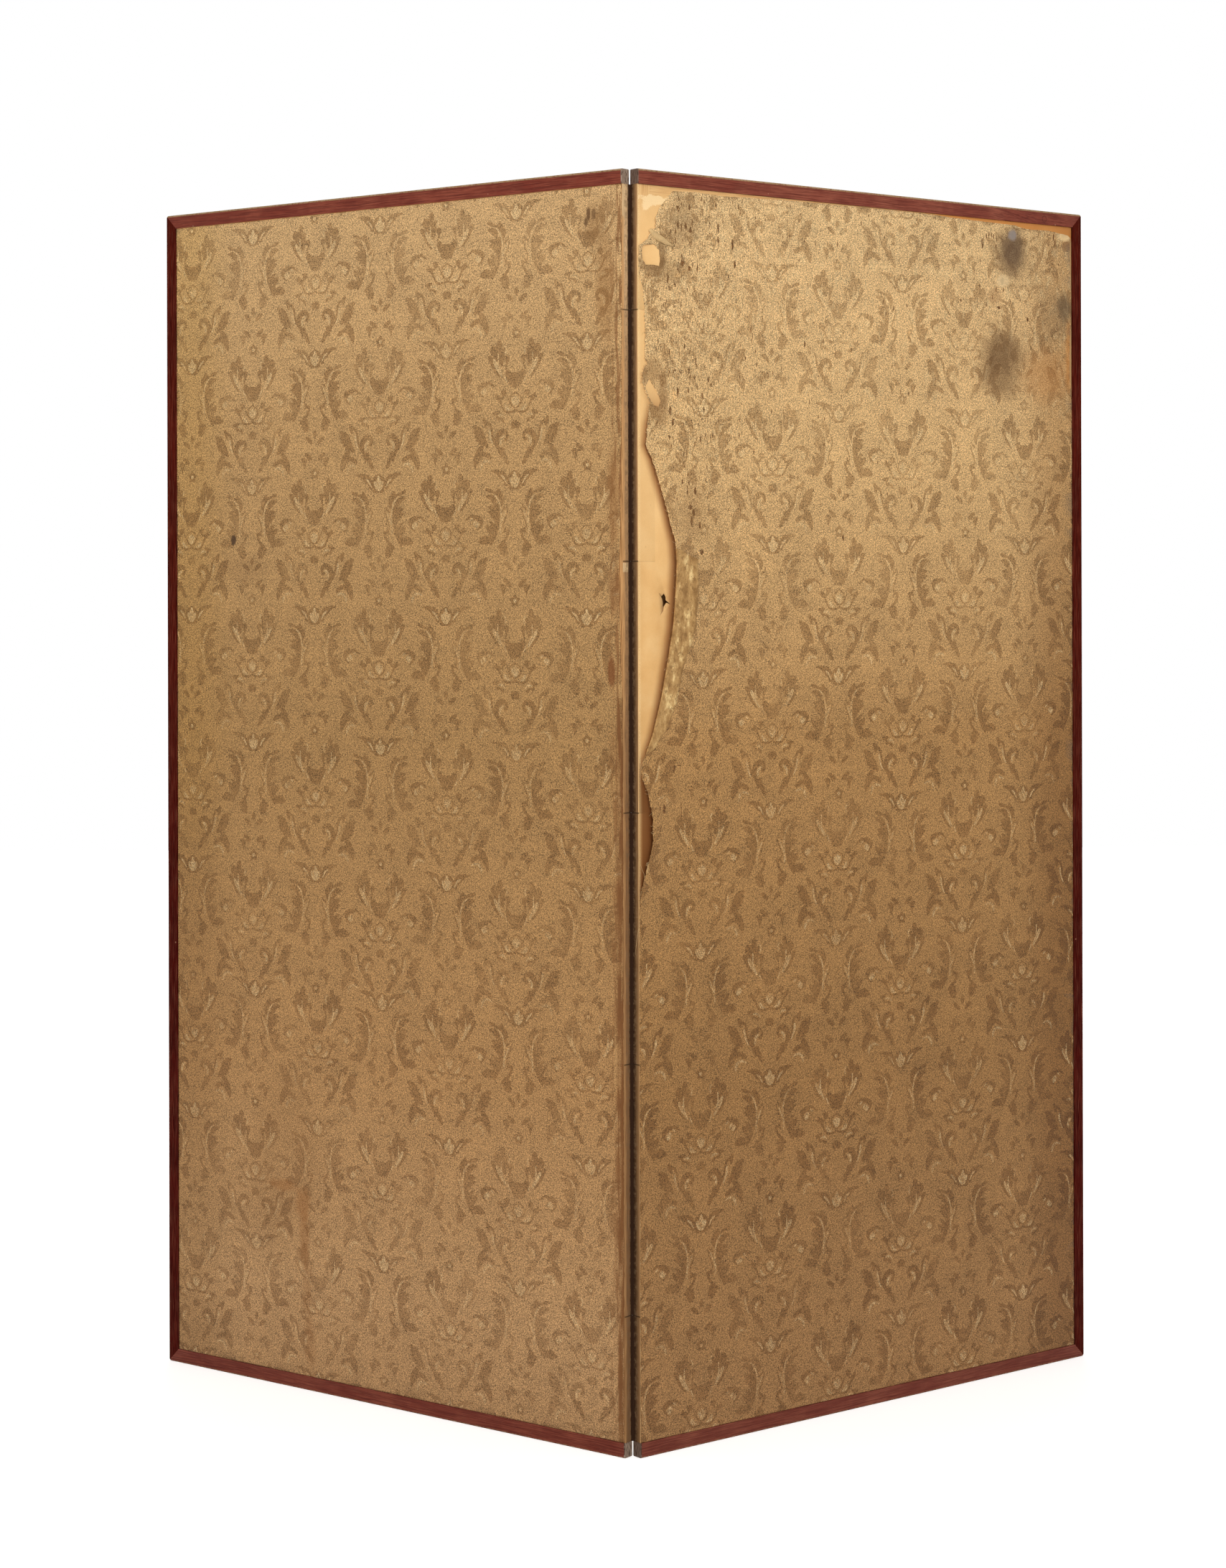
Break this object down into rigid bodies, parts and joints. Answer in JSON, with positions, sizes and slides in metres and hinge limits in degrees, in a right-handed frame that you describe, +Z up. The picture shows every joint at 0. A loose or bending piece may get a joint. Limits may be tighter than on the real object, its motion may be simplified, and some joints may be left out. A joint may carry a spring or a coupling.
{
  "type": "byobu folding screen",
  "caption": "Two-leaf paper and silk folding screen on a cedar lattice, in a lacquered frame, with an alternating paper hinge.",
  "frame": {"origin": "on the floor, in the middle of the space that the half-open screen takes", "axes": "+Z up along the fold; -Y is where the fold points, so the cloth backs face -Y; the left leaf lies towards -X"},
  "size_m": [1.3766, 0.5402, 1.72],
  "materials": {
    "lacquer": "satin lacquer, worn at the edges",
    "nail_iron": "dull",
    "cedar": "planed",
    "under_paper": "matt, aged",
    "hinge_paper": "matt, soiled",
    "ground_paper": "matt, aged",
    "border_cloth": "woven silk",
    "back_cloth": "figured silk, worn"
  },
  "bodies": {
    "left_leaf": {"left_frame_bottom": "lacquer", "left_frame_top": "lacquer", "left_frame_stile": "lacquer", "left_frame_nails": "nail_iron", "left_core_stile_hinge": "cedar", "left_core_stile_outer": "cedar", "left_core_rail_bottom": "cedar", "left_core_rail_top": "cedar", "left_lattice_uprights": "cedar", "left_lattice_crosspieces": "cedar", "left_back_underpaper": "under_paper", "left_front_underpaper": "under_paper", "left_front_ground": "ground_paper", "left_front_border": "border_cloth", "left_back_cloth": "back_cloth", "left_side_facing": "hinge_paper", "hinge_1_wrap": "hinge_paper", "hinge_2_flap": "hinge_paper", "hinge_3_wrap": "hinge_paper", "hinge_4_flap": "hinge_paper", "hinge_5_wrap": "hinge_paper", "hinge_6_flap": "hinge_paper"},
    "right_leaf": {"right_frame_bottom": "lacquer", "right_frame_top": "lacquer", "right_frame_stile": "lacquer", "right_frame_nails": "nail_iron", "right_core_stile_hinge": "cedar", "right_core_stile_outer": "cedar", "right_core_rail_bottom": "cedar", "right_core_rail_top": "cedar", "right_lattice_uprights": "cedar", "right_lattice_crosspieces": "cedar", "right_back_underpaper": "under_paper", "right_front_underpaper": "under_paper", "right_front_ground": "ground_paper", "right_front_border": "border_cloth", "right_back_cloth": "back_cloth", "right_side_facing": "hinge_paper", "hinge_1_flap": "hinge_paper", "hinge_2_wrap": "hinge_paper", "hinge_3_flap": "hinge_paper", "hinge_4_wrap": "hinge_paper", "hinge_5_flap": "hinge_paper", "hinge_6_wrap": "hinge_paper"}
  },
  "joints": [
    {"name": "fold", "type": "hinge", "parent": "left_leaf", "child": "right_leaf", "pos_m": [0, -0.25732, 0], "axis": [0, 0, 1], "range_deg": [-75.8, 104.2]}
  ]
}
